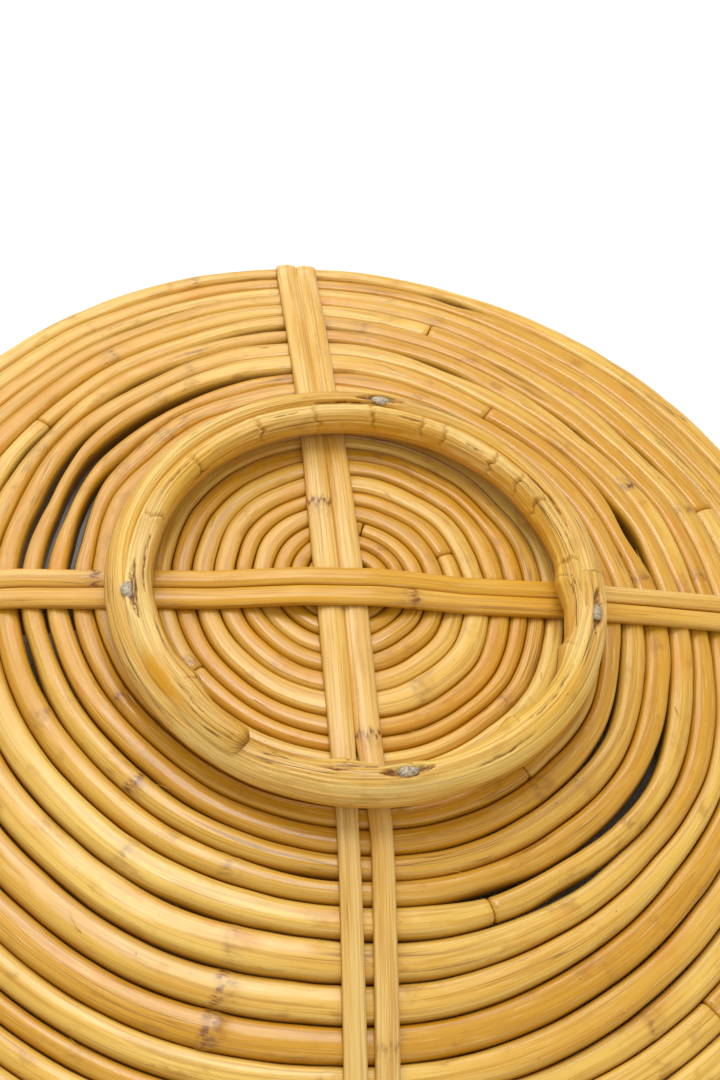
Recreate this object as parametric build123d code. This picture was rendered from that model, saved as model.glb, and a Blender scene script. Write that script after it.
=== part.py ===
"""Winnowing basket: a shallow coiled-cane tray with a foot ring, modelled mouth down.

Millimetres, +Z up. The rim wraps rest on z = 0, and the foot ring is at the top.
The origin is the bottom centre of the whole basket's bounding box.
"""
from build123d import *
from math import cos, floor, pi, radians, sin
import os

# Foot ring, which sets the scale of everything else
ring_radius = 75.0            # centreline radius of the bent cane
ring_cane_radius = 7.0
ring_wear = 0.45              # depth worn flat on top of the ring
ring_offset = (3.4, -6.4)     # ring centre, seen from the coil's centre
scarf_angle = 237.0           # where the ring's two ends meet, degrees
scarf_slant = 55.0            # slant of the scarf cut, degrees from square
scarf_gap = 0.4
scarf_length = 42.0           # long enough to cut through the whole cane

# Coil: one spiral, laid clockwise seen from above, counted in half turns
eye_radius = 6.8              # centreline radius where the spiral starts
inner_step = 3.2              # growth of the radius in one half turn of thin cane
outer_step = 4.45             # the same in thick cane
thick_from = 27               # half turn where the thick cane starts
mixed_half_turns = 2          # half turns before it, where the spacing widens
half_turns = 47
turn_clearance = 0.22         # air between neighbouring turns
cane_ends = (0.0, 5.6, 9.9, 14.0, 16.8, 20.7, 24.3, 27.0, 29.7, 32.4, 35.2, 37.6, 39.9, 42.1, 44.3, 47.0)
butt_gap = 0.3                # air between two canes end to end
level_half_turns = 3          # the rim's last half turns lie level

# Bowl: flat inside the foot ring, then it falls away ever more steeply
slope_start = 0.11
slope_growth = 0.075

# Staves: half-round strips in pairs, across the back and across the inside
stave_thickness = 2.8
stave_crown_share = 0.45      # share of the thickness that is rounded
ew_width = 7.4
ns_width = 8.0
pair_gap = 0.5
stave_clearance = 0.15
ew_line = -6.2                # y of the line between the two east-west strips
ns_line = -3.0                # x of the line between the two north-south strips
hump_flat = 11.0              # half length of the flat where one pair crosses the other
hump_reach = 20.0             # half length of the whole hump
tail_reach = 112.0            # how far from the centre the tucked tails end
inner_reach = 111.5           # half length of the inner strips
bend_radius = 14.0            # easy bends along a strip
rim_bend_radius = 4.3         # tight bend round the rim
tuck_run = 9.0                # straight run under the rim before the strip turns up
tuck_back = 24.0              # distance from the rim to where it meets the bowl's inside
back_bends = (105.0, 135.0, 161.0)     # where the outer strips bend down the bowl's back
bend_lift = 0.3               # how far a bend stands off, so the straight runs clear the canes
inner_bend = 78.0             # where the inner strips start to slope
step_before = 2.5             # how far before the first thick cane they have come down

# Nails through the foot ring: angle about the ring's centre and radius
nail_places = ((81.1, 75.5), (-12.5, 76.5), (-83.7, 74.4), (188.0, 75.3))
nail_shank_radius = 1.1
nail_head_radius = 2.7
nail_head_thickness = 1.2
nail_head_sunk = 0.4         # how far a head is sunk below the ring's worn face
nail_clinch = 1.4             # how far a point stands out inside the bowl
touching = 0.02               # pieces nearer than this to a nail have a hole for it

inner_cane_radius = inner_step - turn_clearance / 2
outer_cane_radius = outer_step - turn_clearance / 2


def half_turn_radius(k):
    """Centreline radius of the spiral after k half turns."""
    thin = min(k, thick_from - mixed_half_turns)
    thick = max(k - thick_from, 0)
    mixed = k - thin - thick
    return eye_radius + thin * inner_step + mixed * (inner_step + outer_step) / 2 + thick * outer_step


def cane_radius(k):
    """Radius of the cane that is laid in half turn k."""
    return inner_cane_radius if k < thick_from else outer_cane_radius


def drop(radius):
    """How far the back of the bowl has fallen at a distance from its centre."""
    beyond = max(radius / ring_radius - 1, 0)
    return ring_radius * (slope_start * beyond + slope_growth * beyond**2)


rim_centre_z = stave_thickness + stave_clearance + outer_cane_radius
level_radius = half_turn_radius(half_turns - level_half_turns)
back_z = rim_centre_z + outer_cane_radius + drop(level_radius)    # top of the flat base


def back_surface(radius):
    """Height of the bowl's back, the top of the canes."""
    return max(back_z - drop(radius), rim_centre_z + outer_cane_radius)


def inside_surface(radius):
    """Height of the bowl's inside, the bottom of the canes."""
    thick = radius >= half_turn_radius(thick_from)
    return back_surface(radius) - 2 * (outer_cane_radius if thick else inner_cane_radius)


def spiral_corner(k):
    """Point of the spiral on the X axis after k whole half turns."""
    side = 1 if k % 2 == 0 else -1
    radius = half_turn_radius(k)
    return Vector(side * radius, 0, back_surface(radius) - cane_radius(k))


def spiral_point(k):
    """Point of the spiral after any number of half turns.

    Each half turn is an arc in its own plane. All of those planes hold the Y direction,
    so the arcs run smoothly into each other.
    """
    whole = min(floor(k), half_turns - 1)
    start = spiral_corner(whole)
    end = spiral_corner(whole + 1)
    centre = (start + end) * 0.5
    outward = start - centre
    across = Vector(0, -outward.length if whole % 2 == 0 else outward.length, 0)
    turned = (k - whole) * pi
    return centre + outward * cos(turned) + across * sin(turned)


def arc_stops(first, last):
    """The half-turn counts where a cane's arcs start and end."""
    middle = [k for k in range(floor(first) + 1, floor(last) + 1) if first < k < last]
    return [first, *middle, last]


def coil_cane(first, last):
    """One length of the coil, from one half-turn count to another."""
    gap_turn = butt_gap / 2 / (pi * half_turn_radius(last))
    stops = arc_stops(first + gap_turn, last - gap_turn)
    arcs = []
    for a, b in zip(stops, stops[1:]):
        arcs.append(ThreePointArc(spiral_point(a), spiral_point((a + b) / 2), spiral_point(b)))
    line = Wire(arcs)
    section = Plane(origin=line @ 0, z_dir=line % 0) * Circle(cane_radius(first))
    return sweep(section, path=line)


def half_round(width):
    """Section of a split strip: flat below, low rounded sides and a crown."""
    side = stave_thickness * (1 - stave_crown_share)
    half = width / 2
    outline = Polyline((-half, side), (-half, 0), (half, 0), (half, side))
    crown = ThreePointArc((half, side), (0, stave_thickness), (-half, side))
    return make_face([outline, crown])


def strip(points, radii, width, plane, sideways):
    """A half-round strip along a filleted path that is drawn in a vertical plane."""
    path = plane.offset(sideways) * FilletPolyline(*points, radius=radii)
    line = Wire(path.edges())
    section_plane = Plane(origin=line @ 0, x_dir=-plane.z_dir, z_dir=line % 0)
    return sweep(section_plane * half_round(width), path=line)


def rim_side(rim_s, side):
    """Path points and radii on one side, from the flat base to the tucked tail."""
    rise = outer_cane_radius + stave_clearance
    points = [(ring_radius, back_z + stave_clearance)]
    points += [(s, back_surface(s) + stave_clearance + bend_lift) for s in back_bends]
    points += [(rim_s - outer_step, rim_centre_z + rise), (rim_s + rise, rim_centre_z + rise)]
    points += [(rim_s + rise, rim_centre_z - rise), (rim_s - tuck_run, rim_centre_z - rise)]
    points += [(s, inside_surface(s) - stave_clearance) for s in (rim_s - tuck_back, tail_reach)]
    radii = [bend_radius] * (len(back_bends) + 2) + [rim_bend_radius] * 2 + [bend_radius] * 2
    return [(side * s, z) for s, z in points], radii


def hump(middle, base, lift):
    """Path points where one pair of strips passes over the other."""
    low = [(middle - hump_reach, base), (middle + hump_reach, base)]
    high = [(middle - hump_flat, base + lift), (middle + hump_flat, base + lift)]
    return [low[0], high[0], high[1], low[1]] if lift else []


def outer_stave(width, plane, sideways, rims, crossing, lift):
    """A strip across the back that wraps round the rim at both ends."""
    plus, plus_radii = rim_side(rims[0], 1)
    minus, minus_radii = rim_side(rims[1], -1)
    middle = hump(crossing, back_z + stave_clearance, lift)
    points = minus[::-1] + middle + plus
    radii = minus_radii[::-1] + [bend_radius] * len(middle) + plus_radii
    return strip(points, radii, width, plane, sideways)


def inner_stave(width, plane, sideways, crossing, lift):
    """A strip across the inside of the bowl, between the tucked tails."""
    base = back_z - 2 * inner_cane_radius - stave_clearance
    thick_radius = half_turn_radius(thick_from)
    side = [(inner_reach, inside_surface(inner_reach) - stave_clearance)]
    side += [(thick_radius - step_before, inside_surface(thick_radius) - stave_clearance), (inner_bend, base)]
    points = side + hump(crossing, base, -lift)[::-1] + [(-s, z) for s, z in side[::-1]]
    radii = [bend_radius] * (len(points) - 2)
    return strip(points, radii, width, plane, sideways)


def foot_ring():
    """The thick bent cane with a worn top and one slanting scarf."""
    centre_z = back_z + stave_thickness + 2 * stave_clearance + ring_cane_radius
    ring = Pos(*ring_offset, centre_z) * Torus(ring_radius, ring_cane_radius)
    outside = 2 * (ring_radius + 2 * ring_cane_radius)
    over = Box(outside, outside, ring_cane_radius, align=(Align.CENTER, Align.CENTER, Align.MIN))
    ring -= Pos(*ring_offset, centre_z + ring_cane_radius - ring_wear) * over
    cut = Box(scarf_length, scarf_gap, 3 * ring_cane_radius)
    place = Pos(*ring_offset, centre_z) * Rot(0, 0, scarf_angle) * Pos(ring_radius, 0, 0)
    return ring - place * Rot(0, 0, scarf_slant) * cut


def ring_top():
    """Height of the ring's worn face."""
    return back_z + stave_thickness + 2 * stave_clearance + 2 * ring_cane_radius - ring_wear


def nail(place):
    """One round-headed nail, its head sunk level with the ring's worn face."""
    angle, radius = place
    x = ring_offset[0] + radius * cos(radians(angle))
    y = ring_offset[1] + radius * sin(radians(angle))
    top = ring_top() - nail_head_sunk
    bottom = back_z - 2 * inner_cane_radius - nail_clinch
    from_top = (Align.CENTER, Align.CENTER, Align.MAX)
    shank = Cylinder(nail_shank_radius, top - bottom, align=from_top)
    head = Cylinder(nail_head_radius, nail_head_thickness, align=from_top)
    return Pos(x, y, top) * (shank + head)


def pair_lines(line, width):
    """Sideways places of the two strips of a pair."""
    return line - (width + pair_gap) / 2, line + (width + pair_gap) / 2


def make_staves():
    """All eight strips by name."""
    # A plane's own x runs along the strip and its own y is up
    along_x = Plane(origin=(0, 0, 0), x_dir=(1, 0, 0), z_dir=(0, -1, 0))
    along_y = Plane(origin=(0, 0, 0), x_dir=(0, 1, 0), z_dir=(1, 0, 0))
    last_three = [half_turn_radius(half_turns - back) for back in (0, 1, 2)]
    # The last cane ends in the west, so the rim reaches furthest there
    ew_rims = last_three[1], last_three[0]
    ns_rims = (last_three[1] + last_three[2]) / 2, (last_three[0] + last_three[1]) / 2
    lift = stave_thickness + stave_clearance
    staves = {}
    for name, y in zip(("south", "north"), pair_lines(ew_line, ew_width)):
        staves[f"outer_stave_ew_{name}"] = outer_stave(ew_width, along_x, -y, ew_rims, ns_line, lift)
        staves[f"inner_stave_ew_{name}"] = inner_stave(ew_width, along_x, -y, ns_line, lift)
    for name, x in zip(("west", "east"), pair_lines(ns_line, ns_width)):
        staves[f"outer_stave_ns_{name}"] = outer_stave(ns_width, along_y, x, ns_rims, ew_line, 0)
        staves[f"inner_stave_ns_{name}"] = inner_stave(ns_width, along_y, x, ew_line, 0)
    return staves


def make_parts():
    """Every piece of the basket by name, in the coil's own place."""
    pieces = {}
    for number, (first, last) in enumerate(zip(cane_ends, cane_ends[1:]), start=1):
        pieces[f"coil_cane_{number:02d}"] = coil_cane(first, last)
    pieces.update(make_staves())
    pieces["foot_ring"] = foot_ring()
    nails = [nail(place) for place in nail_places]
    for name, piece in pieces.items():
        for one in nails:
            if piece.distance_to(one) < touching:
                pieces[name] = pieces[name] - one
    pieces["ring_nails"] = Part() + nails
    return pieces


def floor_shift(pieces):
    """The move that puts the origin at the bottom centre of the whole basket."""
    boxes = [piece.bounding_box() for piece in pieces.values()]
    middle_x = (min(box.min.X for box in boxes) + max(box.max.X for box in boxes)) / 2
    middle_y = (min(box.min.Y for box in boxes) + max(box.max.Y for box in boxes)) / 2
    return Pos(-middle_x, -middle_y, -min(box.min.Z for box in boxes))


def main():
    os.makedirs("parts", exist_ok=True)
    pieces = make_parts()
    shift = floor_shift(pieces)
    print("coil centre in the basket's frame:", shift.position)
    for name, piece in pieces.items():
        export_step(shift * piece, f"parts/{name}.step")


main()
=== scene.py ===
from math import cos, pi, radians, sin, tan
import bpy
import numpy as np
from mathutils import Matrix, Vector


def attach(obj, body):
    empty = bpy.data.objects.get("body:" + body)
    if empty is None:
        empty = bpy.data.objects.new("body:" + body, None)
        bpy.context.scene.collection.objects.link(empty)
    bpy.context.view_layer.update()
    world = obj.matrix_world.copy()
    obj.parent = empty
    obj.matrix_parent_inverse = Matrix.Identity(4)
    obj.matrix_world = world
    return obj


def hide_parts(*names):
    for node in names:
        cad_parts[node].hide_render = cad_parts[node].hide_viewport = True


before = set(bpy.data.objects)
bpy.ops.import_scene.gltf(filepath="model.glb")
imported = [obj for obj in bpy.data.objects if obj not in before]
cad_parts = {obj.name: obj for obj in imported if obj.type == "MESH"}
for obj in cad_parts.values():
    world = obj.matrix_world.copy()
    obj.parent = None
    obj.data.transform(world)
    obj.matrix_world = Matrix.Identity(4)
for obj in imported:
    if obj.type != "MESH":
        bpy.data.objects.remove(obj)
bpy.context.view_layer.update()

scene = bpy.context.scene
mm = 0.001    # lengths below are in millimetres unless a note says otherwise


def smooth(t):
    t = np.clip(t, 0, 1)
    return t * t * (3 - 2 * t)


# Random curve between -1 and 1 that is smooth over about one spacing.
def softNoise(x, spacing, seed):
    x = np.asarray(x, float) / spacing
    cell = np.floor(x).astype(int)
    table = np.random.default_rng(seed).uniform(-1, 1, 4096)
    t = smooth(x - cell)
    return table[cell % 4096] * (1 - t) + table[(cell + 1) % 4096] * t


# The same over two directions.
def softNoise2(x, y, xSpacing, ySpacing, seed):
    x = np.asarray(x, float) / xSpacing
    y = np.asarray(y, float) / ySpacing
    i, j = np.floor(x).astype(int), np.floor(y).astype(int)
    table = np.random.default_rng(seed).uniform(-1, 1, (512, 64))
    u, v = smooth(x - i), smooth(y - j)
    low = table[i % 512, j % 64] * (1 - u) + table[(i + 1) % 512, j % 64] * u
    high = table[i % 512, (j + 1) % 64] * (1 - u) + table[(i + 1) % 512, (j + 1) % 64] * u
    return low * (1 - v) + high * v


def bump(x, middle, width):
    return np.exp(-((np.asarray(x, float) - middle) / width) ** 2)


# Signed difference of two angles in degrees.
def turnGap(a, b):
    return (np.asarray(a, float) - b + 180) % 360 - 180


# A sine or cosine with flatter tops, for sections between round and square.
def fuller(wave, power):
    return np.sign(wave) * np.abs(wave) ** power


def unit(v):
    return v / np.linalg.norm(v, axis=-1, keepdims=True)


# A smooth-shaded mesh object from millimetre points, with the values its material reads.
def makeMesh(name, points, faces, values=None, vectors=None):
    mesh = bpy.data.meshes.new(name)
    mesh.from_pydata((np.asarray(points) * mm).tolist(), [], faces)
    mesh.shade_smooth()
    for key, value in (values or {}).items():
        flat = np.asarray(value, np.float32).ravel()
        mesh.attributes.new(key, "FLOAT", "POINT").data.foreach_set("value", flat)
    for key, value in (vectors or {}).items():
        flat = np.asarray(value, np.float32).ravel()
        mesh.attributes.new(key, "FLOAT_VECTOR", "POINT").data.foreach_set("vector", flat)
    made = bpy.data.objects.new(name, mesh)
    scene.collection.objects.link(made)
    return made


# Quads of a tube: columns go round it, rows along it. Both ends get a cap unless it's a loop.
def gridFaces(rows, columns, closedRows=False):
    faces = []
    for i in range(rows if closedRows else rows - 1):
        a, b = i * columns, (i + 1) % rows * columns
        faces += [(a + j, a + (j + 1) % columns, b + (j + 1) % columns, b + j) for j in range(columns)]
    if not closedRows:
        faces.append(tuple(range(columns - 1, -1, -1)))
        faces.append(tuple((rows - 1) * columns + j for j in range(columns)))
    return faces


# Finishes a piece: material, body and the CAD nodes it stands for.
def wear(obj, material, slotName, *nodes):
    obj.data.materials.append(material)
    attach(obj, "root")
    if nodes:
        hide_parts(*nodes)
    return obj


def link(tree, a, b):
    tree.links.new(a, b)


def addNode(tree, kind, **settings):
    node = tree.nodes.new(kind)
    for key, value in settings.items():
        setattr(node, key, value)
    return node


# Varnished rattan. The "fibre" attribute is the place in the straightened cane, in metres.
def caneMaterial(name, look):
    material = bpy.data.materials.new(name)
    material.use_nodes = True
    tree = material.node_tree
    shader = tree.nodes["Principled BSDF"]

    def attribute(key):
        return addNode(tree, "ShaderNodeAttribute", attribute_name=key)

    def stretched(x, y, z):
        scaled = addNode(tree, "ShaderNodeVectorMath", operation="MULTIPLY")
        link(tree, fibre.outputs["Vector"], scaled.inputs[0])
        scaled.inputs[1].default_value = (x, y, z)
        return scaled.outputs[0]

    def noise(vector, scale, detail=2.0, rough=0.5):
        node = addNode(tree, "ShaderNodeTexNoise")
        node.inputs["Scale"].default_value = scale
        node.inputs["Detail"].default_value = detail
        node.inputs["Roughness"].default_value = rough
        link(tree, vector, node.inputs["Vector"])
        return node.outputs["Fac"]

    def spread(value, low, high, toLow=0.0, toHigh=1.0):
        node = addNode(tree, "ShaderNodeMapRange", interpolation_type="SMOOTHSTEP")
        link(tree, value, node.inputs["Value"])
        for key, number in zip(("From Min", "From Max", "To Min", "To Max"), (low, high, toLow, toHigh)):
            node.inputs[key].default_value = number
        return node.outputs["Result"]

    def maths(operation, a, b):
        node = addNode(tree, "ShaderNodeMath", operation=operation)
        for socket, value in zip(node.inputs, (a, b)):
            if isinstance(value, (int, float)):
                socket.default_value = value
            else:
                link(tree, value, socket)
        return node.outputs[0]

    def mix(share, a, b, blend="MIX"):
        node = addNode(tree, "ShaderNodeMix", data_type="RGBA", blend_type=blend)
        for socket, value in ((node.inputs["Factor"], share), (node.inputs["A"], a), (node.inputs["B"], b)):
            if isinstance(value, (int, float)):
                socket.default_value = value
            elif isinstance(value, tuple):
                socket.default_value = (*value, 1)
            else:
                link(tree, value, socket)
        return node.outputs["Result"]

    fibre = attribute("fibre")
    tone = attribute("tone").outputs["Fac"]
    mark = attribute("mark").outputs["Fac"]
    grimeAndShade = attribute("grimeAndShade").outputs["Fac"]
    stain = attribute("stain").outputs["Fac"]
    shade = attribute("shade").outputs["Fac"]

    streaks = noise(stretched(15, 1300, 1300), 1.0, 4, 0.65)
    fine = noise(stretched(60, 3400, 3400), 1.0, 2, 0.6)
    broad = noise(stretched(9, 130, 130), 1.0, 3, 0.55)
    mottle = noise(stretched(70, 190, 190), 1.0, 4, 0.6)
    specks = noise(stretched(420, 1300, 1300), 1.0, 2, 0.5)

    colour = mix(spread(tone, 0, 1), look["pale"], look["deep"])
    colour = mix(maths("MULTIPLY", spread(broad, 0.35, 0.68), look["warmShare"]), colour, look["warm"])
    colour = mix(maths("MULTIPLY", spread(streaks, 0.48, 0.60), look["streakShare"]), colour, look["streak"])
    colour = mix(maths("MULTIPLY", spread(fine, 0.52, 0.75), look["fineShare"]), colour, look["light"])
    hairs = spread(noise(stretched(12, 2100, 2100), 1.0, 2, 0.5), 0.57, 0.65)
    colour = mix(maths("MULTIPLY", hairs, look["hairShare"]), colour, look["brown"])
    colour = mix(maths("MULTIPLY", spread(mottle, 0.56, 0.74), look["mottleShare"]), colour, look["brown"])
    splitLine = maths("ABSOLUTE", maths("SUBTRACT", noise(stretched(6, 430, 430), 1.0, 2, 0.5), 0.5), 0)
    splits = maths("MULTIPLY", spread(splitLine, 0.0, 0.013, 1.0, 0.0), spread(broad, 0.50, 0.60))
    colour = mix(maths("MULTIPLY", splits, look["splitShare"]), colour, look["dark"])
    colour = mix(maths("MULTIPLY", spread(specks, 0.72, 0.80), look["speckShare"]), colour, look["dark"])
    stained = maths("ADD", spread(mottle, 0.35, 0.6), 0.25)
    colour = mix(maths("MULTIPLY", stain, stained), colour, look["amber"])
    # dark marks at nodes and ends; on the foot ring the same colour is also painted shade in the creases,
    # folds and splits
    colour = mix(maths("MULTIPLY", mark, maths("ADD", spread(specks, 0.4, 0.6), 0.3)), colour, look["node"])
    # painted shade in the crevices and on the undersides, partly grime: mixes towards the grime colour
    colour = mix(maths("MULTIPLY", grimeAndShade, look["grimeAndShadeShare"]), colour, look["grimeAndShade"])
    colour = mix(shade, colour, look["dark"])
    link(tree, colour, shader.inputs["Base Color"])

    roughness = spread(mottle, 0.3, 0.8, look["roughness"] - 0.06, look["roughness"] + 0.18)
    link(tree, roughness, shader.inputs["Roughness"])
    shader.inputs["Coat Weight"].default_value = look["coat"]
    shader.inputs["Coat Roughness"].default_value = look["coatRoughness"]
    shader.inputs["Coat IOR"].default_value = 1.5
    shader.inputs["Specular IOR Level"].default_value = 0.3

    height = maths("ADD", maths("MULTIPLY", streaks, 0.6), maths("MULTIPLY", fine, 0.25))
    height = maths("SUBTRACT", height, maths("MULTIPLY", splits, 0.8))
    height = maths("ADD", height, maths("MULTIPLY", mottle, 0.35))
    relief = addNode(tree, "ShaderNodeBump")
    relief.inputs["Strength"].default_value = look["relief"]
    relief.inputs["Distance"].default_value = 0.0006
    link(tree, height, relief.inputs["Height"])
    link(tree, relief.outputs["Normal"], shader.inputs["Normal"])
    return material


cane = {
    "pale": (0.88, 0.57, 0.11), "deep": (0.66, 0.31, 0.006), "warm": (0.70, 0.32, 0.008),
    "streak": (0.50, 0.21, 0.005), "light": (0.95, 0.72, 0.30), "brown": (0.40, 0.16, 0.008),
    "dark": (0.12, 0.045, 0.005), "amber": (0.68, 0.27, 0.002), "node": (0.24, 0.085, 0.012),
    # colour of the painted shade in the crevices and on the undersides, partly grime
    "grimeAndShade": (0.42, 0.18, 0.001),
    "warmShare": 0.75, "streakShare": 0.58, "fineShare": 0.40, "hairShare": 0.38,
    "mottleShare": 0.62, "speckShare": 0.7, "splitShare": 0.55,
    "grimeAndShadeShare": 0.85, "roughness": 0.42, "coat": 0.55, "coatRoughness": 0.13, "relief": 0.45,
}
thinMaterial = caneMaterial("thin cane", cane)
thickMaterial = caneMaterial("thick cane", {
    **cane, "warmShare": 0.55, "streakShare": 0.48, "hairShare": 0.28, "relief": 0.38,
})
staveMaterial = caneMaterial("stave cane", {
    **cane, "pale": (0.88, 0.59, 0.19), "deep": (0.77, 0.40, 0.010), "streakShare": 0.5, "relief": 0.3,
    "mottleShare": 0.16, "speckShare": 0.3, "splitShare": 0.4, "hairShare": 0.28,
    "coat": 0.4, "coatRoughness": 0.2,
})
ringMaterial = caneMaterial("foot ring cane", {
    **cane, "pale": (0.93, 0.66, 0.22), "deep": (0.88, 0.54, 0.07), "amber": (0.72, 0.33, 0.008),
    "streakShare": 0.5, "mottleShare": 0.35, "splitShare": 0.8, "hairShare": 0.45, "coat": 0.2, "relief": 1.0,
})


coil = {
    "centre": (2.225, 2.225),
    "eyeRadius": 6.8, "thinStep": 3.2, "thickStep": 4.45,    # growth of the radius in half a turn
    "thinUntil": 25, "thickFrom": 27, "halfTurns": 47,
    "ends": (0.0, 5.6, 9.9, 14.0, 16.8, 20.7, 24.3, 27.0, 29.7, 32.4, 35.2, 37.6, 39.9, 42.1, 44.3, 47.0),
    "topOfBase": 31.135, "slopeStart": 0.11, "slopeGrowth": 0.075, "flatRadius": 75.0,
    "rimCentreHeight": 7.29,
    "clearance": 0.05,
    "cornerSize": 0.027,       # how far the strongest corner stands out, as a share of the radius
    "widthSpread": 0.42, "heightSpread": 0.55,
    "caneSlack": 0.11,         # how much thinner a cane is than its share of the turns
}
# How far the turns lie outside a true spiral towards E, NE, N, NW, W, SW, S and SE
outOfRound = {
    0: (0, 0, 0, 0, 0, 0, 0, 0),
    6: (-1.7, -1.7, -0.8, -0.9, -1.2, -1.3, -1.5, -1.8),
    10: (-1.2, -1.2, -1.0, -0.6, -1.5, -0.5, -0.3, -0.8),
    14: (0.3, 0.8, 1.0, 0.5, -0.3, 1.2, 3.4, 3.6),
    19: (1.0, 0.5, 1.0, 1.0, 0.0, 0.5, 2.0, 2.0),
    28: (0.0, -2.5, 2.0, 2.5, 0.8, -3.0, 0.5, 3.0),
    32: (0.3, -3.5, 5.0, 3.0, -0.5, -4.2, -3.0, 3.2),
    34: (-0.8, -3.8, 6.2, 2.0, -0.3, -2.0, -2.0, 2.0),
    37: (-3.0, -4.0, 7.2, 0.5, 0.0, 2.4, 1.8, 0.2),
    41: (-3.0, -3.0, 6.4, -1.0, 0.5, 4.5, 3.3, 2.0),
    44: (-3.6, -2.5, 3.5, -2.0, 0.0, 2.0, 1.5, 2.6),
    47: (-4.0, -1.4, 1.7, -2.6, -1.5, 0.5, 1.5, 4.5),
}
# Corners where the canes were bent more sharply: angle and strength
corners = ((20, 1.0), (43, 1.0), (66, 0.6), (88, 0.6), (104, 0.8), (125, 1.0), (150, 1.0), (178, 0.5),
           (208, 0.35), (240, 0.3), (284, 0.35), (326, 0.8), (350, 0.5))
# Gaps between turns: angle, half turns from the eye to the cane inside the gap, length in degrees, width
gaps = (
    (138, 27.2, 62, 4.2), (166, 25.1, 30, 3.0), (156, 29.1, 34, 3.0), (126, 31.0, 14, 2.2),
    (97, 33.4, 20, 4.0), (94, 31.4, 14, 2.4), (14, 29.9, 11, 4.2), (320, 30.2, 22, 2.2),
    (289, 30.4, 12, 1.6), (300, 32.4, 9, 1.6), (262, 28.6, 12, 0.9), (244, 32.6, 8, 0.6),
    (68, 31.6, 12, 2.6), (70, 43.6, 5, 3.0), (56, 35.7, 8, 2.2), (196, 28.8, 14, 1.2),
    (330, 25.9, 30, 1.0), (118, 39.3, 12, 2.0), (40, 33.8, 12, 1.8), (150, 33.2, 14, 1.8),
    (30, 37.8, 10, 1.6),
)
# Nodes of the canes that are placed one by one: half turns from the eye, strength
plainNodes = (
    (22.77, 1.0), (24.82, 0.9), (28.74, 1.0), (38.60, 1.6), (36.60, 0.9), (16.82, 0.8),
    (33.86, 1.4), (30.85, 0.6), (37.9, 0.6), (29.3, 0.5), (26.3, 0.6),
)


def turnRadius(k):
    thin = np.minimum(k, coil["thinUntil"])
    thick = np.maximum(k - coil["thickFrom"], 0)
    between = (coil["thinStep"] + coil["thickStep"]) / 2
    grown = thin * coil["thinStep"] + thick * coil["thickStep"] + (k - thin - thick) * between
    return coil["eyeRadius"] + grown


# The out-of-round table, smoothly between its rows and directions.
def roundness(angle, k):
    rows = np.array(sorted(outOfRound), float)
    table = np.array([outOfRound[int(row)] for row in rows], float)
    k = np.clip(k, 0, rows[-1] - 1e-6)
    upper = np.clip(np.searchsorted(rows, k, side="right"), 1, len(rows) - 1)
    share = smooth((k - rows[upper - 1]) / (rows[upper] - rows[upper - 1]))
    place = (angle % 360) / 45
    i = np.floor(place).astype(int)
    t = place - i

    def around(row):
        p = [table[row, (i + d) % 8] for d in (-1, 0, 1, 2)]
        return 0.5 * (2 * p[1] + (p[2] - p[0]) * t + (2 * p[0] - 5 * p[1] + 4 * p[2] - p[3]) * t**2
                      + (3 * p[1] - p[0] - 3 * p[2] + p[3]) * t**3)
    return around(upper - 1) * (1 - share) + around(upper) * share


# Soft corners: each is a ridge that drifts a little from turn to turn.
def cornering(angle, k):
    total = np.zeros_like(angle)
    for number, (direction, strength) in enumerate(corners):
        drift = 7 * softNoise(k, 6, 40 + number)
        away = np.sqrt(turnGap(angle, direction + drift) ** 2 + 9)
        size = strength * (0.75 + 0.45 * softNoise(k, 5, 80 + number))
        total += size * (np.maximum(1 - away / 17, 0) - 0.38 * np.exp(-((away / 24) ** 2)))
    return total


# Outer edge of the cane that lies at k, which is the inner edge of the next turn.
def edgeRadius(k):
    angle = -180 * k
    middle = np.clip(k + 1, 0, coil["halfTurns"])
    base = turnRadius(k + 1)
    bent = coil["cornerSize"] * base * cornering(angle, middle) * smooth(k / 8)
    uneven = coil["widthSpread"] * softNoise(k, 0.9, 7) * smooth(k / 3)
    return base + roundness(angle, middle) * smooth((k + 1) / 6) + bent + uneven


def backHeight(radius):
    beyond = np.maximum(radius / coil["flatRadius"] - 1, 0)
    fall = coil["slopeStart"] * beyond + coil["slopeGrowth"] * beyond**2
    return coil["topOfBase"] - coil["flatRadius"] * fall


# How far a cane stands back from a gap beside it. side is 1 outside the cane and -1 inside.
def gapAt(k, side):
    angle = -180 * k
    total = np.zeros_like(k)
    for direction, turn, length, width in gaps:
        near = turn if side > 0 else turn + 2
        share = 0.62 if side > 0 else 0.38
        opening = width * share * bump(turnGap(angle, direction), 0, length / 1.6)
        total += opening * (np.abs(k - near) < 0.75)
    return total


# Centre line, half width and half height of the coil's cane at k.
def coilLine(k, gapShare=1.0):
    inner = edgeRadius(k - 2) + gapAt(k, -1) * gapShare
    outer = edgeRadius(k) - gapAt(k, 1) * gapShare
    inner = np.where(k < 2, np.minimum(inner, outer - 2 * coil["thinStep"] * 0.9), inner)
    radius = (inner + outer) / 2
    half = np.maximum((outer - inner) / 2 - coil["clearance"], 1.6)
    plain = np.where(k < coil["thickFrom"], coil["thinStep"], coil["thickStep"]) - 2 * coil["clearance"]
    half = np.minimum(half, plain * 1.6)
    height = plain * 0.6 + half * 0.4
    top = backHeight(radius) + coil["heightSpread"] * softNoise(k, 0.33, 19) * smooth(k / 4)
    z = np.maximum(top - height, coil["rimCentreHeight"] - 0.2 * (plain - height))
    angle = np.radians(-180 * k)
    x = coil["centre"][0] + radius * np.cos(angle)
    y = coil["centre"][1] + radius * np.sin(angle)
    return np.stack([x, y, z], -1), half, height


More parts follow.
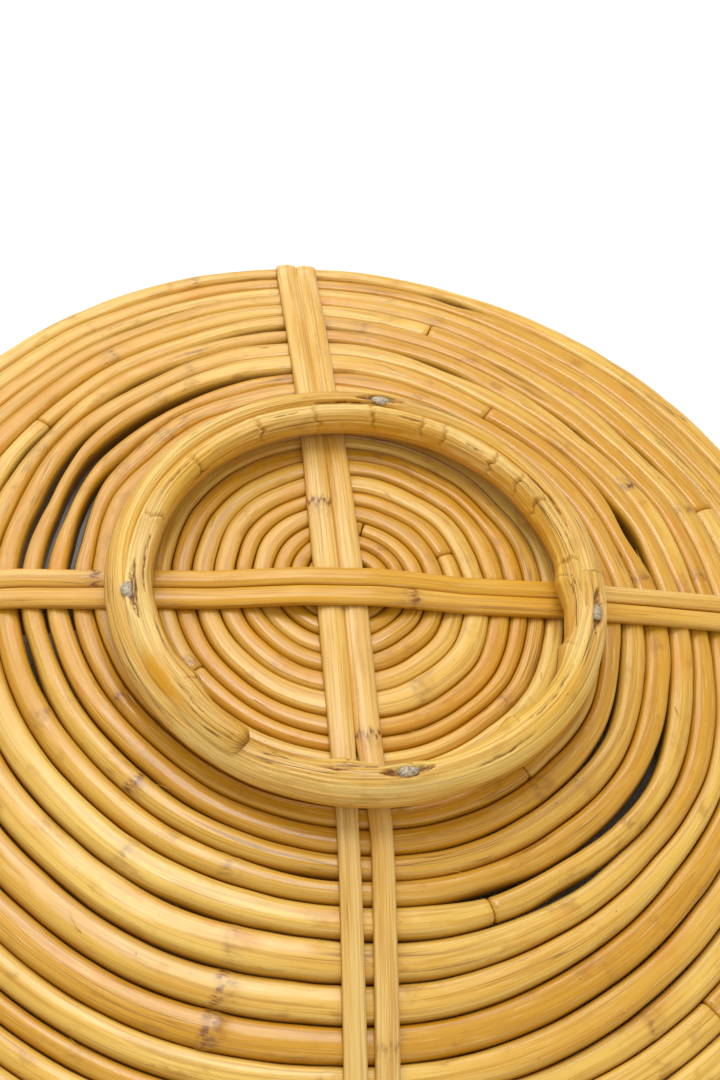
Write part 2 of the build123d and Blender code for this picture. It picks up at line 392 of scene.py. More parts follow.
caneDetail = {
    "butt": 0.25, "around": 22, "endRounding": 0.7,
    "squareness": 0.58,                 # 1 is a round section, less is fuller at the sides
    "lowOpening": 0.3,                  # share of a gap that reaches below the middle of the canes
    "lumps": ((24, 0.03, 900), (9, 0.02, 950)),      # spacing, depth, seed
    "nodeSwell": 0.055, "nodeWaist": 0.03, "nodeLip": 0.02,
    "firstNode": (60, 150), "nodeEvery": (150, 260), "nodeApart": 70, "nodeStrength": (0.25, 0.7),
    "paleFrom": 43,                     # half turn from which the last canes are paler
}


# One cane of the coil, between two half turns
def coilCane(number, first, last):
    d = caneDetail
    thin = first < coil["thickFrom"]
    step = 1.7 if first < 14 else 2.2
    fineK = np.linspace(first, last, 4000)
    line = coilLine(fineK)[0]
    run = np.concatenate([[0], np.cumsum(np.linalg.norm(np.diff(line, axis=0), axis=1))])
    length = run[-1]
    butt = d["butt"]
    along = np.linspace(butt, length - butt, int(length / step))
    extra = np.array([0.25, 0.6])       # closer rows where the ends are rounded
    along = np.unique(np.concatenate([along, butt + extra, length - butt - extra[::-1]]))
    k = np.interp(along, run, fineK)
    centre, half, height = coilLine(k)
    lowCentre, lowHalf, _ = coilLine(k, d["lowOpening"])    # below its middle it nearly touches the next turn
    ahead = unit(np.gradient(centre, along, axis=0))
    side = unit(np.cross(ahead, (0, 0, 1)))
    up = np.cross(side, ahead)

    rng = np.random.default_rng(500 + number)
    nodes = [np.interp(turn, fineK, run) for turn, _ in plainNodes if first < turn < last]
    strengths = [s for turn, s in plainNodes if first < turn < last]
    place = rng.uniform(*d["firstNode"])
    while place < length - 30:
        if all(abs(place - other) > d["nodeApart"] for other in nodes):
            nodes.append(place)
            strengths.append(rng.uniform(*d["nodeStrength"]))
        place += rng.uniform(*d["nodeEvery"])

    around = d["around"]
    phi = np.arange(around) * 2 * pi / around
    wide = along[:, None] + 0 * phi
    size = np.ones((len(along), 1))
    for spacing, depth, seed in d["lumps"]:
        size = size + depth * softNoise(along, spacing, seed + number)[:, None]
    mark = np.zeros((len(along), around))
    for place, strength in zip(nodes, strengths):
        tilt = 1.6 * np.sin(phi + rng.uniform(0, 6))
        away = along[:, None] - place - tilt[None, :]
        ridge = d["nodeSwell"] * bump(away, 0, 3.4) - d["nodeWaist"] * bump(away, 1.6, 0.8)
        size = size + strength * (ridge + d["nodeLip"] * bump(away, 0, 0.7))
        mark += strength * (0.8 * bump(away, 0.8, 1.1) + 0.35 * bump(away, -1.5, 3.0))
    ribs = phi[None, :] * 40 / (2 * pi) + 0 * along[:, None]
    size = size + 0.022 * softNoise2(wide, ribs, 60, 4, 300 + number)
    ends = np.minimum(along - along[0], along[-1] - along)
    size = size * (0.90 + 0.10 * smooth(ends / d["endRounding"]))[:, None]

    plain = coil["thinStep" if thin else "thickStep"] - 2 * coil["clearance"]
    power = d["squareness"] * np.clip(plain / half, 0.6, 1.1)[:, None]    # a wide cane has fuller sides
    across, tall = fuller(np.cos(phi)[None, :], power), fuller(np.sin(phi)[None, :], power + 0.06)
    upper = smooth((np.sin(phi) + 0.65) / 0.9)[None, :]
    middle = centre[:, None, :] * upper[..., None] + lowCentre[:, None, :] * (1 - upper[..., None])
    middle[..., 2] = centre[:, None, 2]
    width = half[:, None] * upper + lowHalf[:, None] * (1 - upper)
    points = (middle + side[:, None, :] * (across * width * size)[..., None]
              + up[:, None, :] * (tall * height[:, None] * size)[..., None])
    opening = np.where(across > 0, gapAt(k, -1)[:, None], gapAt(k, 1)[:, None])
    shade = np.clip(opening * 1.3 - 0.2, 0, 0.92) * bump(np.sin(phi), -0.3, 0.62)[None, :]
    shade = shade * (np.abs(across) > 0.4)      # dark inside the open gaps
    fibre = np.stack([np.broadcast_to(along[:, None] + 1000.0 * number, size.shape),
                      np.cos(phi) * half[:, None], np.sin(phi) * height[:, None]], -1) * mm
    # painted shade on the sides where each cane touches its neighbours, partly grime, and darker at the cut
    # ends
    grimeAndShade = np.clip(0.95 - 1.35 * np.abs(np.sin(phi)), 0, 1)[None, :] + 0.15 * bump(ends, 0, 1.0)[:, None]
    tone = 0.52 + 0.35 * rng.uniform(-1, 1) + 0.5 * softNoise(along, 110, 700 + number)
    tone = tone - 0.6 * smooth((k - d["paleFrom"]) / 2)
    patches = softNoise2(wide, np.broadcast_to(phi * 3, size.shape), 38, 2, 1200 + number)
    made = makeMesh(f"coilCane{number:02d}", points.reshape(-1, 3), gridFaces(len(along), around), {
        "mark": np.clip(mark, 0, 1),
        "grimeAndShade": np.clip(np.broadcast_to(grimeAndShade, size.shape), 0, 1),
        "tone": np.broadcast_to(np.clip(tone, 0, 1)[:, None], size.shape),
        "stain": np.clip(patches * 1.6 - 0.75, 0, 1),
        "shade": shade,
    }, {"fibre": fibre})
    material = thinMaterial if thin else thickMaterial
    return wear(made, material, "thin_coil_cane" if thin else "thick_coil_cane", f"coil_cane_{number:02d}")


for number, (first, last) in enumerate(zip(coil["ends"], coil["ends"][1:]), start=1):
    coilCane(number, first, last)
print("coil: 15 canes")


# Short splinters that stand off the canes
fibres = {
    "count": 150, "length": (2.5, 8.0), "radius": (0.10, 0.24), "rise": (0.05, 0.5),
    "between": (10, 45.5),          # half turns where they are found
    "swing": 0.5, "taper": 0.75,
}
rng = np.random.default_rng(77)
upright = np.array([0, 0, 1])
points, faces, tones, places = [], [], [], []
for number in range(fibres["count"]):
    k = rng.uniform(*fibres["between"])
    centre, half, height = (value[0] for value in coilLine(np.array([k])))
    later = coilLine(np.array([k + 0.002]))[0][0]
    ahead = unit(later - centre) * rng.choice((-1, 1))
    side = unit(np.cross(ahead, (0, 0, 1)))
    lean = rng.uniform(0.3, 0.95) * rng.choice((-1, 1))
    start = centre + side * half * lean + upright * height * np.sqrt(1 - lean**2) * 1.02
    length, radius = rng.uniform(*fibres["length"]), rng.uniform(*fibres["radius"])
    rise, swing = rng.uniform(*fibres["rise"]), rng.uniform(-fibres["swing"], fibres["swing"])
    first = len(points)
    for t in np.linspace(0, 1, 6):
        at = start + length * (ahead * t + side * swing * t**2 + upright * rise * (t - 0.35 * t**2))
        for corner in range(4):
            turn = corner * pi / 2
            points.append(at + (side * cos(turn) + upright * sin(turn)) * radius * (1 - fibres["taper"] * t))
            places.append(np.array([length * t + 20 * number, radius * cos(turn), radius * sin(turn)]) * mm)
            tones.append(rng.uniform(0, 0.5))
    for a in range(first, first + 20, 4):
        b = a + 4
        faces += [(a + j, a + (j + 1) % 4, b + (j + 1) % 4, b + j) for j in range(4)]
    faces += [(first + 3, first + 2, first + 1, first), (first + 20, first + 21, first + 22, first + 23)]
none = np.zeros(len(points))
wear(makeMesh("looseFibres", points, faces,
              {"tone": tones, "mark": none, "grimeAndShade": none, "stain": none}, {"fibre": places}),
     thinMaterial, "thin_coil_cane")
print("fibres:", fibres["count"])


staves = {
    "thickness": 2.8, "amberReach": 74,            # the east-west pair is deeper in colour inside this
    "ewLine": -6.2, "nsLine": -3.0,                # where each pair's middle crosses the coil's centre
    "clearance": 0.15, "humpFlat": 12.0, "humpReach": 42.0,
    "tailReach": 112.0, "innerReach": 111.5, "tuckRun": 9.0, "tuckBack": 24.0,
    "bend": 14.0, "humpBend": 60.0, "rimBend": 4.3, "backBends": (105.0, 135.0, 161.0), "lift": 0.3,
    "innerBend": 78.0, "stepBefore": 2.5,          # the inner strips slope between these and the thick canes
}


# Polyline with arcs at its corners, as evenly spaced points.
def rounded(points, radii, step=1.2):
    points = np.array(points, float)
    line = [points[0]]
    for i in range(1, len(points) - 1):
        a, b = unit(points[i - 1] - points[i]), unit(points[i + 1] - points[i])
        turn = pi - np.arccos(np.clip(a @ b, -1, 1))
        if turn < 1e-3:
            continue
        radius = radii[i - 1]
        reach = radius * tan(turn / 2)
        middle = points[i] + unit(a + b) * radius / cos(turn / 2)
        start = points[i] + a * reach - middle
        sideways = points[i] + b * reach - middle
        for t in np.linspace(0, 1, max(int(turn * radius / step), 6)):
            spin = sin(turn)
            line.append(middle + (start * sin((1 - t) * turn) + sideways * sin(t * turn)) / spin
                        if spin > 1e-6 else middle + start)
    line.append(points[-1])
    line = np.array(line)
    run = np.concatenate([[0], np.cumsum(np.linalg.norm(np.diff(line, axis=0), axis=1))])
    keep = np.concatenate([[True], np.diff(run) > 1e-6])
    line, run = line[keep], run[keep]
    along = np.linspace(0, run[-1], int(run[-1] / step) + 1)
    return np.stack([np.interp(along, run, line[:, 0]), np.interp(along, run, line[:, 1])], -1), along


caneOuter = coil["thickStep"] - coil["caneSlack"]
caneInner = coil["thinStep"] - coil["caneSlack"]


# Height of the bowl's inside, under the canes
def insideHeight(radius):
    top = max(backHeight(radius), coil["rimCentreHeight"] + caneOuter)
    return top - 2 * (caneOuter if radius > turnRadius(coil["thickFrom"]) - 0.01 else caneInner)


def rimSide(rim, side):
    s = staves
    rise = caneOuter + s["clearance"]
    centre = coil["rimCentreHeight"]
    points = [(coil["flatRadius"], coil["topOfBase"] + s["clearance"])]
    points += [(r, float(backHeight(r)) + s["clearance"] + s["lift"]) for r in s["backBends"]]
    points += [(rim - coil["thickStep"], centre + rise), (rim + rise, centre + rise)]
    points += [(rim + rise, centre - rise), (rim - s["tuckRun"], centre - rise)]
    points += [(r, insideHeight(r) - s["clearance"]) for r in (rim - s["tuckBack"], s["tailReach"])]
    radii = [s["bend"]] * 5 + [s["rimBend"]] * 2 + [s["bend"]] * 2
    return [(side * r, z) for r, z in points], radii


# Outline of a strip across its width: a rounded back and a flat underside
def stripProfile():
    profile = [(-cos(t) * (1 - 0.02 * sin(t)), 0.22 + 0.78 * sin(t) ** 0.6) for t in np.linspace(0, pi, 19)]
    profile += [(0.94, 0.0)] + [(x, 0.0) for x in np.linspace(0.75, -0.75, 5)] + [(-0.94, 0.0)]
    return np.array(profile)


# Half-round strip. Its path is drawn in the upright plane through the pair's line.
def strip(name, node, alongX, line, path, seed, nodes=()):
    flat, along = path
    ahead = unit(np.gradient(flat, along, axis=0))
    outward = np.stack([-ahead[:, 1], ahead[:, 0]], -1)
    if outward[len(outward) // 2][1] * (1 if "outer" in node else -1) < 0:
        outward = -outward
    rng = np.random.default_rng(seed)
    places, middles, widths = (np.array(column) for column in zip(*line))
    half = np.interp(flat[:, 0], places, widths) / 2 * (1 + 0.03 * softNoise(along, 55, seed + 1))
    tall = staves["thickness"] * (1 + 0.04 * softNoise(along, 40, seed + 2))
    sideways = np.interp(flat[:, 0], places, middles)
    spread = np.exp(-np.linspace(-2, 2, 25) ** 2)       # takes the corners out of the line
    sideways = np.convolve(np.pad(sideways, 12, mode="edge"), spread / spread.sum(), mode="valid")
    sideways = sideways + 0.2 * softNoise(along, 60, seed + 3)
    profile = stripProfile()
    size = np.ones((len(along), 1))
    mark = np.zeros((len(along), len(profile)))
    for place, strength in nodes:
        at = along[np.argmin(np.abs(flat[:, 0] - place) + 10 * (flat[:, 1] < 5))]
        wavy = 0.9 * np.sin(np.arange(len(profile)) * 1.3 + seed)
        away = along[:, None] - at - wavy
        size = size + strength * (0.06 * bump(away, 0, 3.0) - 0.04 * bump(away, 1.2, 0.8))
        mark += strength * (0.9 * bump(away, 0.6, 1.2) + 0.3 * bump(away, -1.5, 3.5))
    ribs = np.broadcast_to(profile[:, 0] * 6, mark.shape)
    grain = 0.02 * softNoise2(along[:, None] + 0 * ribs, ribs, 80, 0.8, seed + 4)
    lift = tall[:, None] * profile[None, :, 1] * (size + grain)
    across = sideways[:, None] + half[:, None] * profile[None, :, 0] * (1 + (size - 1) * 0.6)
    run = flat[:, 0][:, None] + outward[:, 0][:, None] * lift
    z = flat[:, 1][:, None] + outward[:, 1][:, None] * lift
    cx, cy = coil["centre"]
    points = np.stack([cx + run, cy + across, z] if alongX else [cx + across, cy + run, z], -1)
    fibre = np.stack([np.broadcast_to(along[:, None] + 1000.0 * seed, mark.shape),
                      half[:, None] * profile[None, :, 0] + 0 * mark,
                      tall[:, None] * profile[None, :, 1] + 0 * mark], -1) * mm
    # painted shade along the strip's edges and on its flat underside
    grimeAndShade = np.clip((np.abs(profile[:, 0]) - 0.92) * 10, 0, 0.8) + 0.5 * (profile[:, 1] < 0.1)
    depth = 0.45 + 0.55 * (np.abs(flat[:, 0]) < staves["amberReach"]) if alongX else 0.12
    tone = depth + 0.12 * rng.uniform(-1, 1) + 0.3 * softNoise(along, 60, seed + 5)
    made = makeMesh(name, points.reshape(-1, 3), gridFaces(len(along), len(profile)), {
        "mark": np.clip(mark, 0, 1),
        "grimeAndShade": np.broadcast_to(grimeAndShade, mark.shape),
        "tone": np.broadcast_to(np.clip(tone, 0, 1)[:, None], mark.shape),
        "stain": 0 * mark,
    }, {"fibre": fibre})
    return wear(made, staveMaterial, "stave_cane", node)


def humpPoints(middle, base, lift):
    low = [(middle - staves["humpReach"], base), (middle + staves["humpReach"], base)]
    high = [(middle - staves["humpFlat"], base + lift), (middle + staves["humpFlat"], base + lift)]
    return [low[0], high[0], high[1], low[1]]


def outerPath(rims, crossing, lift):
    plus, plusRadii = rimSide(rims[0], 1)
    minus, minusRadii = rimSide(rims[1], -1)
    middle = humpPoints(crossing, coil["topOfBase"] + staves["clearance"], lift) if lift else []
    middleRadii = [staves["humpBend"]] * len(middle)
    return rounded(minus[::-1] + middle + plus, minusRadii[::-1] + middleRadii + plusRadii)


def innerPath(crossing, lift):
    base = coil["topOfBase"] - 2 * caneInner - staves["clearance"]
    thick = float(turnRadius(coil["thickFrom"]))
    side = [(staves["innerReach"], insideHeight(staves["innerReach"]) - staves["clearance"]),
            (thick - staves["stepBefore"], insideHeight(thick) - staves["clearance"]),
            (staves["innerBend"], base)]
    middle = humpPoints(crossing, base, -lift)[::-1] if lift else []
    points = side + middle + [(-r, z) for r, z in side[::-1]]
    return rounded(points, [staves["bend"]] * (len(points) - 2))


rimTurns = [float(turnRadius(coil["halfTurns"] - back)) for back in (0, 1, 2)]
ewRims = rimTurns[1], rimTurns[0]
nsRims = (rimTurns[1] + rimTurns[2]) / 2, (rimTurns[0] + rimTurns[1]) / 2
overPair = staves["thickness"] + staves["clearance"]
ewPath, nsPath = outerPath(ewRims, staves["nsLine"], overPair), outerPath(nsRims, staves["ewLine"], 0)
ewInner, nsInner = innerPath(staves["nsLine"], overPair), innerPath(staves["ewLine"], 0)
# Place along the strip, how far its middle lies to the side, width
lines = {
    "south": ((-190, -7.5, 7.6), (-113, -6.8, 7.8), (-80, -9.8, 7.8), (20, -9.8, 7.6),
              (73, -12.3, 7.5), (103, -12.1, 7.4), (135, -10.4, 7.6), (190, -9.0, 7.6)),
    "north": ((-190, 0.6, 7.6), (-113, 1.4, 7.6), (-80, -2.1, 7.3), (20, -2.3, 7.1),
              (73, -5.0, 7.0), (103, -4.5, 7.2), (135, -2.4, 7.4), (190, -1.2, 7.4)),
    "west": ((-190, -5.6, 6.8), (-110, -4.8, 6.5), (-90, -4.8, 6.5), (-63, -5.0, 8.0), (-10, -6.0, 9.1),
             (46, -7.7, 8.6), (80, -9.3, 8.4), (150, -11.8, 8.7), (190, -12.8, 8.8)),
    "east": ((-190, 2.3, 7.1), (-138, 3.9, 7.1), (-92, 5.3, 7.1), (-63, 3.1, 8.3), (-10, 2.4, 8.7),
             (46, 0.3, 8.2), (80, -1.8, 7.8), (150, -3.7, 8.7), (190, -4.5, 8.7)),
}
# The inner strips are straight: middle and width, one value from end to end
innerLines = {"south": (-10.2, 7.4), "north": (-2.2, 7.4), "west": (-7.2, 8.0), "east": (1.2, 8.0)}
# Nodes on each outer strip as place and strength, then the place of the inner strip's node
stripNodes = {
    "south": (((21.9, 1.0),), 40.0), "north": (((-82.8, 0.9),), -55.0),
    "west": (((30.9, 1.0),), 66.0), "east": (((-150.0, 0.4), (-62.0, 0.8)), -30.0),
}
for number, (side, (nodes, innerPlace)) in enumerate(stripNodes.items()):
    alongX = side in ("south", "north")
    pair = "ew" if alongX else "ns"
    strip(f"stave_{pair}_{side}", f"outer_stave_{pair}_{side}", alongX, lines[side],
          ewPath if alongX else nsPath, 11 + number, nodes)
    middle, width = innerLines[side]
    strip(f"innerStrip_{pair}_{side}", f"inner_stave_{pair}_{side}", alongX,
          ((-120, middle, width), (120, middle, width)),
          ewInner if alongX else nsInner, 15 + number, ((innerPlace, 0.6),))
print("staves: 8 strips")


ring = {
    "centre": (5.625, -4.175), "height": 41.235, "radius": 75.0,
    "perDegree": 1.31,                                        # length along the ring in one degree
    "creases": (164, 141, 118, 100, 83, 68, 61, 44, 33, 24, 3),        # cross folds of the inner layer
    "kinks": (357.6, 335.7, 307.0, 262.0, 217.7),             # folds on the inner side of the single cane
    "innerKinks": (217.7, -2.4),
    "flutes": ((26, 9, 0.028, 0), (45, 20, 0.022, 7), (60, 34, 0.014, 9)),     # length, number, depth, seed
    "endRounding": 3.2, "caneRadius": 6.2,
}


# Value along the ring from rows of (angle, ...), smooth between them and round the loop.
def table(theta, rows, column):
    angles = np.array([row[0] for row in rows], float)
    values = np.array([row[column] for row in rows], float)
    angles = np.concatenate([angles - 360, angles, angles + 360])
    values = np.concatenate([values] * 3)
    upper = np.clip(np.searchsorted(angles, theta, side="right"), 1, len(angles) - 1)
    t = smooth((theta - angles[upper - 1]) / (angles[upper] - angles[upper - 1]))
    return values[upper - 1] * (1 - t) + values[upper] * t


# Angle, radius of the centre line, half width, half height, height of the centre above the ring's
mainCane = (
    (0, 75.9, 6.2, 6.4, -0.3), (25, 77.0, 5.3, 6.1, -0.5), (60, 77.4, 4.9, 5.8, -0.7),
    (95, 77.4, 4.9, 5.7, -0.7), (130, 77.5, 4.9, 5.9, -0.6), (170, 77.4, 5.0, 5.8, -0.9),
    (215, 76.9, 5.4, 5.4, -1.5), (240, 75.4, 6.8, 5.3, -1.9), (255, 75.0, 7.0, 6.0, -1.1),
    (272, 75.0, 7.0, 6.5, -0.3), (300, 75.0, 7.1, 6.7, 0.0), (335, 75.2, 6.9, 6.7, 0.0),
)
innerCane = (
    (-26, 73.6, 3.6, 4.6, -2.0), (-12, 72.0, 4.4, 5.0, 0.2), (0, 71.0, 4.7, 5.6, 0.9),
    (24, 70.3, 4.7, 5.8, 0.8), (60, 70.1, 5.0, 5.8, 0.5), (95, 69.9, 5.2, 5.8, 0.5),
    (130, 70.2, 5.2, 5.8, 0.6), (165, 70.9, 5.2, 5.6, 0.9), (190, 71.9, 5.6, 5.2, 1.6),
    (215, 73.0, 5.9, 5.2, 1.7), (232, 73.9, 5.6, 4.7, 2.1), (239, 74.2, 5.2, 4.4, 2.1),
)


# Points and surface values of one layer of the ring, with painted shade on its underside and in its creases,
# folds and splits. Its section is fluted, folded and split.
def ringTube(rows, theta, around, closed, seed, creases, kinks, splits):
    phi = np.arange(around) * 2 * pi / around      # 0 outward, a quarter turn up, half a turn inward
    radius, half, height, lift = (table(theta, rows, column)[:, None] for column in (1, 2, 3, 4))
    arc = np.radians(theta)[:, None] * ring["radius"]
    size = np.ones((len(theta), around))
    wide = np.broadcast_to(arc, size.shape)
    for length, ridges, depth, shift in ring["flutes"]:
        size += depth * softNoise2(wide, np.broadcast_to(phi * ridges, size.shape), length, 1.0, seed + shift)
    size += 0.035 * softNoise(arc, 17, seed + 1)
    inward = np.clip(-np.cos(phi), 0, 1)[None, :]
    upper = np.clip(np.sin(phi) + 0.35, 0, 1)[None, :]
    perDegree = ring["perDegree"]
    mark = np.zeros_like(size)
    if creases:                                     # flat facets between the folds
        folds = np.sort(np.array(creases, float))
        facet = np.min(np.abs(turnGap(theta[:, None], folds[None, :])), axis=1)
        faceted = (theta > -8) & (theta < 172)
        depth = (smooth(np.clip(facet / 5, 0, 1)) - 0.6) * faceted
        size += inward * upper * 0.055 * depth[:, None]
    for number, fold in enumerate(creases):
        wobble = 1.1 * softNoise(phi * 3, 1.0, seed + 20 + number) + 0.8 * np.cos(phi)
        away = turnGap(theta, fold)[:, None] * perDegree - wobble[None, :]
        reach = np.clip(inward * 1.2 + 0.75 * (np.cos(phi) < 0.55)[None, :], 0, 1) * upper
        strength = 0.7 + 0.5 * ((number * 7) % 5) / 4
        size -= 0.20 * strength * reach * bump(away, 0, 0.55)
        size += 0.06 * strength * reach * (bump(away, 1.9, 1.3) + 0.6 * bump(away, -2.4, 1.8))
        # painted shade along the crease
        mark += 0.5 * reach * bump(away, 0, 0.4)
    for fold in kinks:
        away = turnGap(theta, fold)[:, None] * perDegree
        size += 0.36 * inward**2 * np.maximum(1 - np.sqrt(away**2 + 0.15) / 9, -0.22)
        line = bump(away - 1.5 * np.cos(phi * 2)[None, :], 0.9, 0.45)
        size -= 0.08 * inward * upper * line
        # painted shade along the fold line
        mark += 0.7 * inward * upper * line
    for angle, turn, length, width, depth in splits:
        away = turnGap(theta, angle)[:, None] * perDegree
        swell = np.clip(1 - (away / length) ** 2, 0, 1)
        lens = swell * width
        across = np.radians(turnGap(np.degrees(phi)[None, :], turn)) * ring["caneRadius"]
        across = across - 0.4 * softNoise(away, 5, seed + 60)
        inside = smooth((lens - np.abs(across)) / 0.35 + 0.5) * (lens > 0.05)
        size -= depth / 6 * inside
        lip = bump(np.abs(across), width + 0.7, 0.8)
        size += 0.12 * swell * lip * min(width, 1.5) / 1.5
        # painted shade inside the split
        mark += 0.9 * inside
    if not closed:      # a rounded end, worn over
        fromEnd = 1 - np.clip(1 - (theta[-1] - theta) * perDegree / ring["endRounding"], 0, 1) ** 2
        size = size * np.sqrt(np.clip(fromEnd, 0.04, 1))[:, None]
        mark += bump(theta, theta[-1], 0.9)[:, None] * 0.7
    radial = radius + np.cos(phi)[None, :] * half * size
    z = ring["height"] + lift + fuller(np.sin(phi), 0.92)[None, :] * height * size
    angle = np.radians(theta)[:, None]
    cx, cy = ring["centre"]
    points = np.stack([cx + radial * np.cos(angle), cy + radial * np.sin(angle), z], -1)
    fibre = np.stack([wide + 1000.0 * seed, np.cos(phi) * half, np.sin(phi) * height + 0 * arc], -1) * mm
    tone = np.clip(0.35 + 0.3 * inward + 0.45 * softNoise(arc, 32, seed + 5), 0, 1)
    # painted shade on the lower half of the ring's section
    grimeAndShade = np.clip(-np.sin(phi) * 0.8, 0, 0.7)[None, :] + 0 * arc
    return points, {"mark": np.clip(mark, 0, 1), "grimeAndShade": grimeAndShade, "tone": tone + 0 * phi}, fibre, phi


def ringPiece(name, layer, closed, stain, nodes=()):
    points, values, fibre, phi = layer
    made = makeMesh(name, points.reshape(-1, 3), gridFaces(len(points), len(phi), closed),
                    {**values, "stain": stain}, {"fibre": fibre})
    return wear(made, ringMaterial, "ring_cane", *nodes)


# Splits in the cane: angle, direction round the cane, half length, half width, depth
mainSplits = (
    (276.3, 92, 8.5, 1.7, 1.4), (347.5, 68, 9.5, 1.8, 1.6), (81.1, 92, 9.0, 1.5, 1.3),
    (260.4, 100, 6.0, 0.5, 0.9), (268.0, 112, 14.0, 0.3, 0.6), (90.0, 118, 13.0, 0.5, 1.0),
    (320.0, 96, 16.0, 0.25, 0.5), (25.0, 116, 15.0, 0.4, 0.9), (130.0, 70, 16.0, 0.25, 0.5),
    (300.0, 62, 12.0, 0.25, 0.5), (354.0, 110, 8.0, 0.3, 0.8),
)
innerSplits = (
    (188.0, 68, 12.0, 1.5, 1.5), (30.0, 62, 12.0, 0.45, 0.8), (14.0, 74, 14.0, 0.4, 0.7),
    (203, 120, 8.0, 0.4, 0.6), (150.0, 88, 13.0, 0.3, 0.6), (180.0, 110, 14.0, 0.35, 0.8),
    (222.0, 80, 9.0, 0.3, 0.6), (72.0, 100, 7.0, 0.3, 0.6), (50.0, 110, 6.0, 0.3, 0.6),
    (110.0, 95, 8.0, 0.25, 0.5),
)
theta = np.arange(0, 360, 0.4)
layer = ringTube(mainCane, theta, 96, True, 31, (), ring["kinks"], mainSplits)
alongRing = np.radians(theta)[:, None] * ring["radius"] + 0 * layer[3]
blotches = softNoise2(alongRing, np.broadcast_to(layer[3] * 6, alongRing.shape), 14, 1, 61)
ringPiece("footRing", layer, True, 0.5 * np.clip(blotches - 0.35, 0, 1), ("foot_ring",))

theta = np.concatenate([np.arange(-26, 236, 0.4), np.arange(236, 239.01, 0.12)])
layer = ringTube(innerCane, theta, 80, False, 32, ring["creases"], ring["innerKinks"], innerSplits)
reach = theta[:, None] + 0 * layer[3]
amberPatch = bump(reach, 214, 9) * bump(turnGap(np.degrees(layer[3])[None, :], 45), 0, 38)
amberInside = 0.6 * (reach < 100) * np.clip(-np.cos(layer[3]), 0, 1)[None, :]
ringPiece("footRingInnerLayer", layer, False, amberPatch + amberInside)
print("foot ring: two layers")


nails = {
    # angle, radius and height of each head
    "places": ((81.1, 76.3, 47.4), (347.5, 77.2, 47.2), (276.3, 74.6, 47.5), (188.0, 75.6, 48.0)),
    "long": 6.4, "wide": 3.7, "tall": 1.1, "shank": 1.1, "pointBelow": 24.55, "dents": 0.09,
    "dome": ((0.35, -0.06), (0.65, -0.2), (0.88, -0.5), (1.0, -0.9)),      # share of the width, dip
}
steel = bpy.data.materials.new("dull nail steel")
steel.use_nodes = True
tree = steel.node_tree
shader = tree.nodes["Principled BSDF"]
grit = addNode(tree, "ShaderNodeTexNoise")
grit.inputs["Scale"].default_value = 1400
grit.inputs["Detail"].default_value = 3
ramp = addNode(tree, "ShaderNodeValToRGB")
ramp.color_ramp.elements[0].position, ramp.color_ramp.elements[0].color = 0.35, (0.24, 0.18, 0.10, 1)
ramp.color_ramp.elements[1].position, ramp.color_ramp.elements[1].color = 0.65, (0.60, 0.52, 0.38, 1)
place = addNode(tree, "ShaderNodeTexCoord")
link(tree, place.outputs["Object"], grit.inputs["Vector"])
link(tree, grit.outputs["Fac"], ramp.inputs["Fac"])
link(tree, ramp.outputs["Color"], shader.inputs["Base Color"])
shader.inputs["Metallic"].default_value = 0.25
shader.inputs["Roughness"].default_value = 0.55

points, faces = [], []
for number, (angle, radius, top) in enumerate(nails["places"]):
    a = radians(angle)
    sideways, lengthways = np.array([cos(a), sin(a)]), np.array([-sin(a), cos(a)])
    middle = np.array(ring["centre"]) + radius * sideways
    rng = np.random.default_rng(70 + number)
    start, around = len(points), 24
    for share, dip in nails["dome"]:            # a worn oval head
        for t in np.arange(around) * 2 * pi / around:
            lump = 1 + 0.09 * sin(3 * t + number) + 0.05 * sin(5 * t + 2 * number)
            out = share * lump / 2
            flat = middle + out * (lengthways * cos(t) * nails["long"] + sideways * sin(t) * nails["wide"])
            points.append((*flat, top + dip * nails["tall"] + nails["dents"] * rng.uniform(-1, 1)))
    for a0 in range(start, start + around * (len(nails["dome"]) - 1), around):
        b0 = a0 + around
        faces += [(b0 + j, b0 + (j + 1) % around, a0 + (j + 1) % around, a0 + j) for j in range(around)]
    faces.append(tuple(range(start, start + around)))
    start, around = len(points), 12
    below = [(top - 0.8, 1.0), (nails["pointBelow"] + 1.4, 0.9), (nails["pointBelow"], 0.35)]
    for z, share in below:                      # shank and blunt point
        for t in np.arange(around) * 2 * pi / around:
            points.append((*(middle + nails["shank"] * share * np.array([cos(t), sin(t)])), z))
    for a0 in range(start, start + around * (len(below) - 1), around):
        b0 = a0 + around
        faces += [(a0 + j, b0 + j, b0 + (j + 1) % around, a0 + (j + 1) % around) for j in range(around)]
    faces.append(tuple(range(start, start + around)))
    faces.append(tuple(range(len(points) - 1, len(points) - 1 - around, -1)))
wear(makeMesh("ringNails", points, faces), steel, "nail_steel", "ring_nails")
print("nails: 4")


stageLook = {"floor": (0.92, 0.92, 0.915), "size": 6.0, "world": 0.58, "key": 10.4, "sky": 4.4, "fill": 3.2}

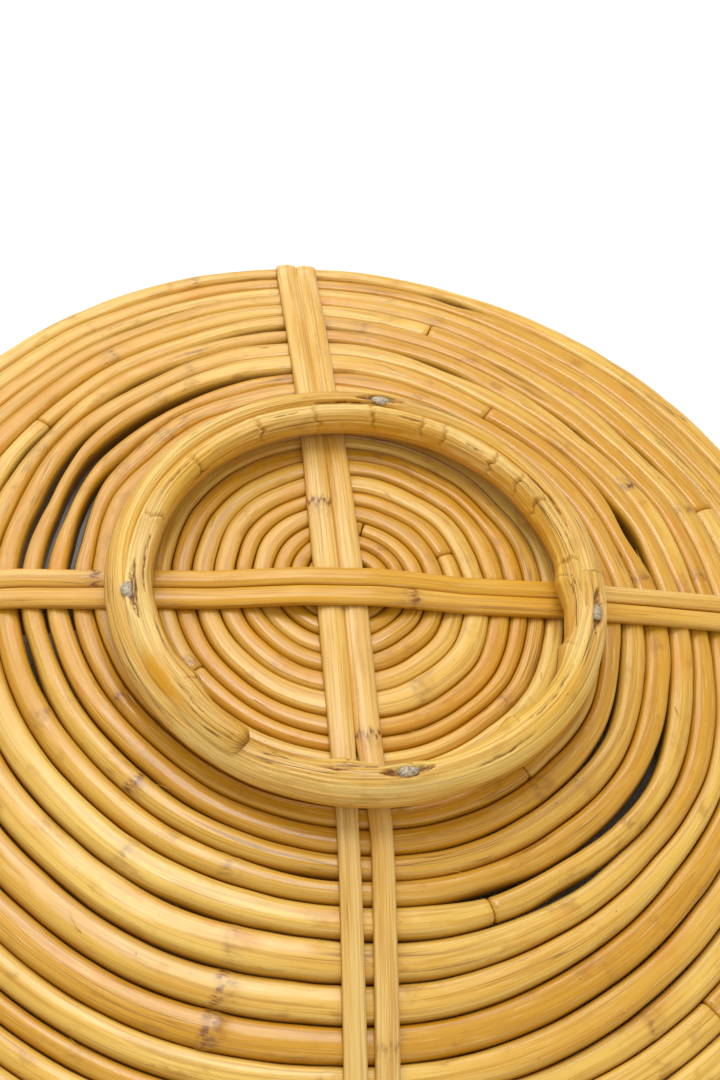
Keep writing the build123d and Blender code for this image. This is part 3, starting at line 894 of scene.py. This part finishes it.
floorMesh = bpy.data.meshes.new("floor")
w = stageLook["size"]
floorMesh.from_pydata([(-w, -w, 0), (w, -w, 0), (w, w, 0), (-w, w, 0)], [], [(0, 1, 2, 3)])
floor = bpy.data.objects.new("floor", floorMesh)
scene.collection.objects.link(floor)
paper = bpy.data.materials.new("paper")
paper.use_nodes = True
shader = paper.node_tree.nodes["Principled BSDF"]
shader.inputs["Base Color"].default_value = (*stageLook["floor"], 1)
shader.inputs["Roughness"].default_value = 0.8
floorMesh.materials.append(paper)

world = bpy.data.worlds.new("studio")
world.use_nodes = True
sky = world.node_tree.nodes["Background"]
sky.inputs["Color"].default_value = (1, 1, 1, 1)
sky.inputs["Strength"].default_value = stageLook["world"]
scene.world = world


def areaLight(name, place, target, size, power, colour=(1, 1, 1)):
    data = bpy.data.lights.new(name, "AREA")
    data.shape = "RECTANGLE"
    data.size, data.size_y = size
    data.energy = power
    data.color = colour
    lamp = bpy.data.objects.new(name, data)
    lamp.location = place
    lamp.rotation_mode = "QUATERNION"
    lamp.rotation_quaternion = (Vector(target) - Vector(place)).to_track_quat("-Z", "Y")
    scene.collection.objects.link(lamp)
    return lamp


areaLight("window", (-0.35, 0.95, 1.05), (0, 0, 0.02), (1.3, 0.9), stageLook["key"])
areaLight("skylight", (-0.02, 0.50, 1.30), (0, 0, 0.02), (0.42, 0.42), stageLook["sky"])
areaLight("room", (0.3, -1.2, 1.3), (0, 0, 0.02), (1.6, 1.2), stageLook["fill"])

camera = {
    "focal": 43.33, "sensor": 36, "roll": 10.77,
    "target": (6.500, 11.045, 41.235), "from": (-52.046, -255.575, 380.247),
}
eye, target = Vector(camera["from"]) * mm, Vector(camera["target"]) * mm
ahead = (target - eye).normalized()
right = ahead.cross(Vector((0, 0, 1))).normalized()
above = right.cross(ahead)
spin = radians(camera["roll"])
tiltedRight = right * cos(spin) + above * sin(spin)
tiltedUp = above * cos(spin) - right * sin(spin)
cameraData = bpy.data.cameras.new("camera")
cameraData.sensor_width = camera["sensor"]
cameraData.lens = camera["focal"]
cameraData.clip_start, cameraData.clip_end = 0.01, 30
cameraObject = bpy.data.objects.new("camera", cameraData)
axes = Matrix((tiltedRight, tiltedUp, -ahead)).transposed().to_4x4()
cameraObject.matrix_world = Matrix.Translation(eye) @ axes
scene.collection.objects.link(cameraObject)
scene.camera = cameraObject
scene.view_settings.view_transform = "Standard"
print("stage and camera")
